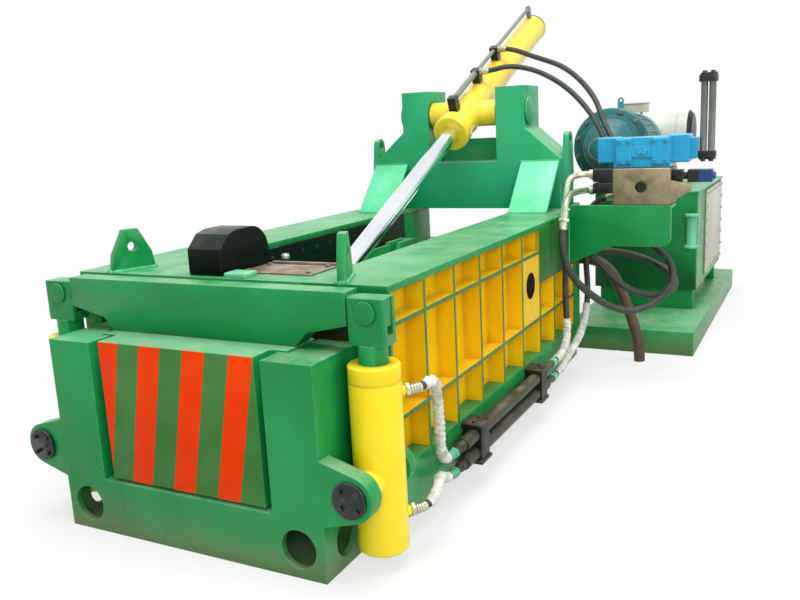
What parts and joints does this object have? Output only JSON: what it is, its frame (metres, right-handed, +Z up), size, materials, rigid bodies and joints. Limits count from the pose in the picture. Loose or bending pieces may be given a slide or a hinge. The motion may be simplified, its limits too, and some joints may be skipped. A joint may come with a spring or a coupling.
{
  "type": "recycling baler",
  "caption": "Hydraulic scrap metal baler with a lifting front gate, press chamber, hinged press lid, main ram and side power unit.",
  "frame": {"origin": "on the ground in the machine's middle plane, under the gate rods, on the gate frame's base", "axes": "+X towards the power unit's side, +Y from the gate to the rear, +Z up"},
  "size_m": [2.459, 5.812, 2.4706],
  "materials": {
    "green_paint": "gloss machine enamel",
    "yellow_paint": "gloss machine enamel",
    "bare_steel": "worn machined steel",
    "black_steel": "satin black paint",
    "chrome": "hard chrome",
    "valve_blue": "gloss enamel",
    "manifold_steel": "bare machined steel",
    "elbow_steel": "zinc plated",
    "tube_grey": "grey paint",
    "motor_teal": "satin enamel",
    "cream_paint": "satin enamel",
    "pipe_brown": "worn primer",
    "hose_rubber": "matt rubber",
    "hose_wrap": "wrapped cloth",
    "conduit_brown": "matt rubber"
  },
  "bodies": {
    "press": {"gate_frame": "green_paint", "gate_cylinder_left": "yellow_paint", "gate_cylinder_right": "yellow_paint", "trunnion_bearings": "bare_steel", "trunnion_caps": "black_steel", "trunnion_cap_bolts": "black_steel", "side_wall_left": "yellow_paint", "side_wall_right": "yellow_paint", "top_beam_left": "green_paint", "top_beam_right": "green_paint", "skid_beams": "green_paint", "chamber_floor": "green_paint", "wall_blades": "bare_steel", "front_cover_plate": "green_paint", "guard_hood": "black_steel", "rear_crosshead": "green_paint", "gantry_frame": "green_paint", "gantry_gussets": "green_paint", "lid_trunnion_caps": "bare_steel", "lid_hinge_pin": "bare_steel", "main_cylinder": "yellow_paint", "cylinder_saddle": "green_paint", "power_base": "green_paint", "oil_tank": "green_paint", "tank_cover": "cream_paint", "tank_cover_bolts": "cream_paint", "main_motor": "motor_teal", "terminal_box": "cream_paint", "main_pump": "motor_teal", "second_motor": "cream_paint", "valve_bracket": "green_paint", "valve_manifold": "manifold_steel", "directional_valve": "valve_blue", "side_valves": "black_steel", "twin_tubes": "tube_grey", "return_valve": "black_steel", "manifold_elbows": "elbow_steel", "side_pipes": "pipe_brown", "pipe_brackets": "pipe_brown", "lid_hose_upper": "hose_rubber", "lid_hose_lower": "hose_rubber", "loop_hose_outer": "hose_rubber", "loop_hose_inner": "hose_rubber", "gate_hose_upper": "hose_wrap", "gate_hose_lower": "hose_wrap", "supply_hose_upper": "hose_rubber", "supply_hose_lower": "hose_rubber", "drain_conduit": "conduit_brown"},
    "gate": {"gate_slab": "green_paint", "gate_crossbeam": "green_paint", "gate_rod_left": "green_paint", "gate_rod_right": "green_paint", "clevis_pins": "bare_steel"},
    "lid": {"press_lid": "green_paint"},
    "lid_cylinder_barrel": {"lid_cylinder": "yellow_paint", "lid_cylinder_pipes": "black_steel"},
    "lid_cylinder_rod": {"lid_rod": "chrome", "lid_rod_pin": "bare_steel"},
    "ram": {"ram_head": "green_paint", "ram_rod": "chrome"}
  },
  "joints": [
    {"name": "gate_lift", "type": "slide", "parent": "press", "child": "gate", "axis": [0, 0, 1], "range_m": [0, 0.55]},
    {"name": "lid_hinge", "type": "hinge", "parent": "press", "child": "lid", "pos_m": [0, 2.43, 0.8], "axis": [-1, 0, 0], "range_deg": [0, 50]},
    {"name": "lid_cylinder_swing", "type": "hinge", "parent": "press", "child": "lid_cylinder_barrel", "pos_m": [0, 2.755, 1.655], "axis": [-1, 0, 0], "range_deg": [0, 37], "deforming": ["lid_hose_upper", "lid_hose_lower"]},
    {"name": "lid_rod_stroke", "type": "slide", "parent": "lid_cylinder_barrel", "child": "lid_cylinder_rod", "axis": [0, 0.9099, 0.4147], "range_m": [0, 0.7]},
    {"name": "ram_stroke", "type": "slide", "parent": "press", "child": "ram", "axis": [0, -1, 0], "range_m": [0, 1.65]}
  ],
  "couplings": [
    {"joint": "lid_cylinder_swing", "follows": "lid_hinge", "ratio": 0.7266},
    {"joint": "lid_rod_stroke", "follows": "lid_hinge", "m_per_rad": 0.7816}
  ]
}
